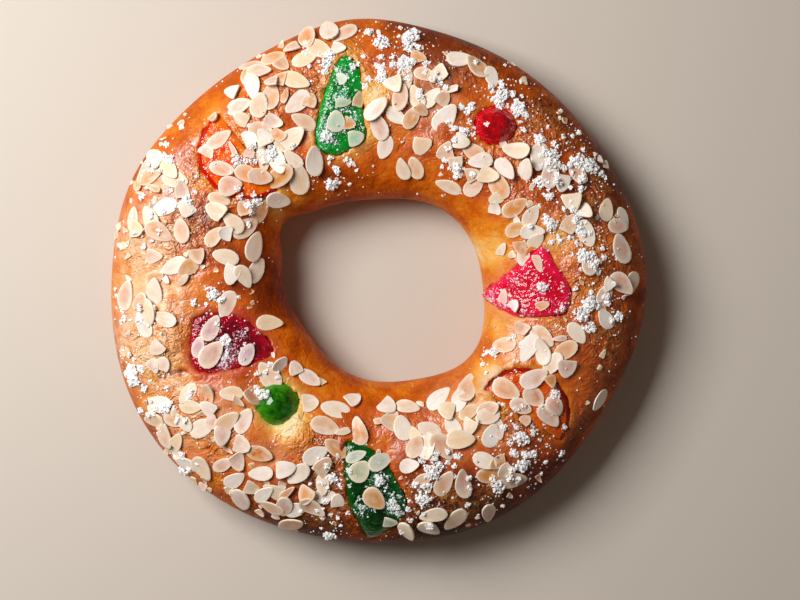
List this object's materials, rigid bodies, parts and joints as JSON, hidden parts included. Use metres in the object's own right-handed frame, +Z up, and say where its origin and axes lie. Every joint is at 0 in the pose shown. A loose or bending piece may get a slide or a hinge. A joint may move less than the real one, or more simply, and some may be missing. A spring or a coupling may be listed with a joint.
{
  "type": "roscon de reyes",
  "caption": "Ring-shaped sweet bread for Twelfth Night with candied fruit pressed into its crown, flaked almonds and lumps of sugar, shared out by cutting it across.",
  "frame": {"origin": "on the surface that the ring stands on, in the middle of its footprint", "axes": "+Z up; +Y towards the green wedge, away from the viewer; +X to the right, towards the pink wedge"},
  "size_m": [0.298, 0.2914, 0.0555],
  "materials": {
    "crust": "egg-glazed baked crust, golden to dark amber, softly shining",
    "candied_green": "translucent candied fruit, sticky and frosted with sugar",
    "candied_pink": "translucent candied fruit, crusted with sugar",
    "candied_purple": "translucent candied fruit, sticky and frosted with sugar",
    "candied_orange": "translucent candied orange with a darker red peel",
    "candied_red": "translucent candied cherry, wet and glossy",
    "almond": "raw to lightly toasted almond flesh, satin",
    "sugar": "damp sugar dried into white lumps"
  },
  "bodies": {
    "root": {"bread_ring": "crust", "green_wedge": "candied_green", "green_strip": "candied_green", "green_cherry": "candied_green", "pink_wedge": "candied_pink", "purple_slice": "candied_purple", "orange_slice_upper": "candied_orange", "orange_slice_lower": "candied_orange", "red_cherry": "candied_red"}
  },
  "joints": []
}
